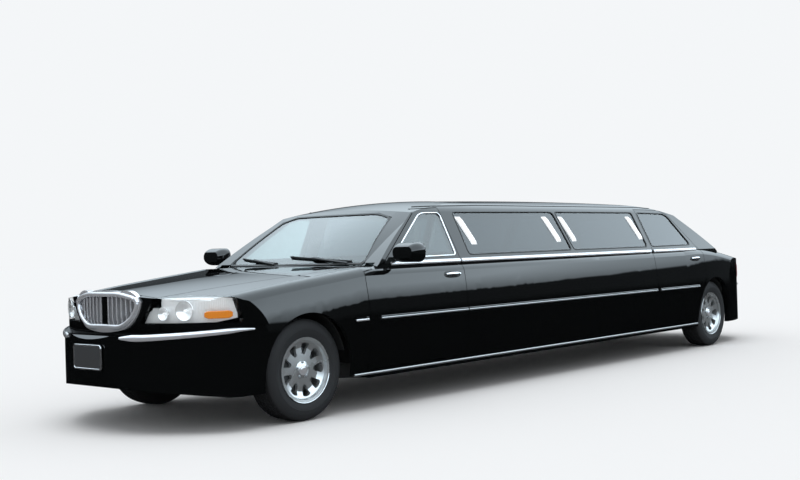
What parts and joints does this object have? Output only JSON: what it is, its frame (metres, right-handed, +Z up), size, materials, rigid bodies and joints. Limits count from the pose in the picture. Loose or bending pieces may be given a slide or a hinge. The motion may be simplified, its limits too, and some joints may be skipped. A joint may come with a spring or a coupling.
{
  "type": "stretch limousine",
  "caption": "Long-wheelbase stretch limousine with swinging doors, hood and boot lid, steered front wheels, rolling wheels and a hollow lounge cabin on a ladder frame.",
  "frame": {"origin": "on the ground under the middle of the car, on its centre plane, at half its length", "axes": "+X towards the tail, +Y towards the car's right side, +Z up"},
  "size_m": [8.485, 2.4444, 1.5694],
  "materials": {
    "black_paint": "gloss",
    "tyre_rubber": "matte",
    "machined_alloy": "machined",
    "clear_glass": "clear",
    "dark_glass": "tinted",
    "lamp_glass": "clear",
    "red_lens": "gloss",
    "opal_lens": "satin",
    "chrome_trim": "polished",
    "black_steel": "satin",
    "engine_iron": "rough",
    "radiator_alloy": "matte",
    "exhaust_steel": "brushed",
    "underseal": "matte",
    "dark_plastic": "grained",
    "seat_leather": "satin",
    "cabinet_wood": "polished"
  },
  "bodies": {
    "body": {"backlight": "dark_glass", "bar_cabinet": "cabinet_wood", "body_side_left": "black_paint", "body_side_right": "black_paint", "chassis_frame": "black_steel", "cowl_panel": "dark_plastic", "dashboard": "dark_plastic", "engine": "engine_iron", "exhaust": "exhaust_steel", "front_bumper": "black_paint", "front_fenders": "black_paint", "front_seats": "seat_leather", "front_suspension": "black_steel", "front_wheelhouses": "underseal", "fuel_tank": "black_steel", "grille": "chrome_trim", "headlamps": "lamp_glass", "lounge_seats": "seat_leather", "nose_panel": "black_paint", "opera_lamps": "opal_lens", "partition": "cabinet_wood", "prop_shaft": "black_steel", "radiator": "radiator_alloy", "rear_axle": "black_steel", "rear_bumper": "black_paint", "rear_deck": "black_paint", "roof": "black_paint", "side_windows": "dark_glass", "steering_wheel": "dark_plastic", "tail_lamps": "red_lens", "underbody": "underseal", "windscreen": "clear_glass"},
    "hood": {"hood": "black_paint"},
    "trunk_lid": {"trunk_lid": "black_paint"},
    "door_front_left": {"door_front_left": "black_paint", "door_glass_front_left": "clear_glass", "mirror_left": "black_paint"},
    "door_front_right": {"door_front_right": "black_paint", "door_glass_front_right": "clear_glass", "mirror_right": "black_paint"},
    "door_rear_left": {"door_rear_left": "black_paint", "door_glass_rear_left": "clear_glass"},
    "door_rear_right": {"door_rear_right": "black_paint", "door_glass_rear_right": "clear_glass"},
    "knuckle_left": {"knuckle_left": "black_steel"},
    "knuckle_right": {"knuckle_right": "black_steel"},
    "wheel_front_left": {"tyre_front_left": "tyre_rubber", "wheel_front_left": "machined_alloy"},
    "wheel_front_right": {"tyre_front_right": "tyre_rubber", "wheel_front_right": "machined_alloy"},
    "wheel_rear_left": {"tyre_rear_left": "tyre_rubber", "wheel_rear_left": "machined_alloy"},
    "wheel_rear_right": {"tyre_rear_right": "tyre_rubber", "wheel_rear_right": "machined_alloy"}
  },
  "joints": [
    {"name": "door_front_left_hinge", "type": "hinge", "parent": "body", "child": "door_front_left", "pos_m": [-2.5275, -0.957, 0.65], "axis": [0, 0, -1], "range_deg": [0, 65]},
    {"name": "door_rear_left_hinge", "type": "hinge", "parent": "body", "child": "door_rear_left", "pos_m": [1.6625, -0.957, 0.65], "axis": [0, 0, -1], "range_deg": [0, 65]},
    {"name": "steer_left", "type": "hinge", "parent": "body", "child": "knuckle_left", "pos_m": [-3.1275, -0.735, 0.351], "axis": [0, 0, 1], "range_deg": [-32, 32]},
    {"name": "roll_front_left", "type": "hinge", "parent": "knuckle_left", "child": "wheel_front_left", "pos_m": [-3.1275, -0.805, 0.351], "axis": [0, 1, 0], "continuous": true},
    {"name": "roll_rear_left", "type": "hinge", "parent": "body", "child": "wheel_rear_left", "pos_m": [2.9125, -0.805, 0.351], "axis": [0, 1, 0], "continuous": true},
    {"name": "door_front_right_hinge", "type": "hinge", "parent": "body", "child": "door_front_right", "pos_m": [-2.5275, 0.957, 0.65], "axis": [0, 0, 1], "range_deg": [0, 65]},
    {"name": "door_rear_right_hinge", "type": "hinge", "parent": "body", "child": "door_rear_right", "pos_m": [1.6625, 0.957, 0.65], "axis": [0, 0, 1], "range_deg": [0, 65]},
    {"name": "steer_right", "type": "hinge", "parent": "body", "child": "knuckle_right", "pos_m": [-3.1275, 0.735, 0.351], "axis": [0, 0, 1], "range_deg": [-32, 32]},
    {"name": "roll_front_right", "type": "hinge", "parent": "knuckle_right", "child": "wheel_front_right", "pos_m": [-3.1275, 0.805, 0.351], "axis": [0, 1, 0], "continuous": true},
    {"name": "roll_rear_right", "type": "hinge", "parent": "body", "child": "wheel_rear_right", "pos_m": [2.9125, 0.805, 0.351], "axis": [0, 1, 0], "continuous": true},
    {"name": "hood_hinge", "type": "hinge", "parent": "body", "child": "hood", "pos_m": [-2.4775, 0, 1.045], "axis": [0, 1, 0], "range_deg": [0, 50]},
    {"name": "trunk_lid_hinge", "type": "hinge", "parent": "body", "child": "trunk_lid", "pos_m": [3.2745, 0, 1.061], "axis": [0, -1, 0], "range_deg": [0, 70]}
  ],
  "couplings": [
    {"joint": "steer_right", "follows": "steer_left", "ratio": 1}
  ]
}
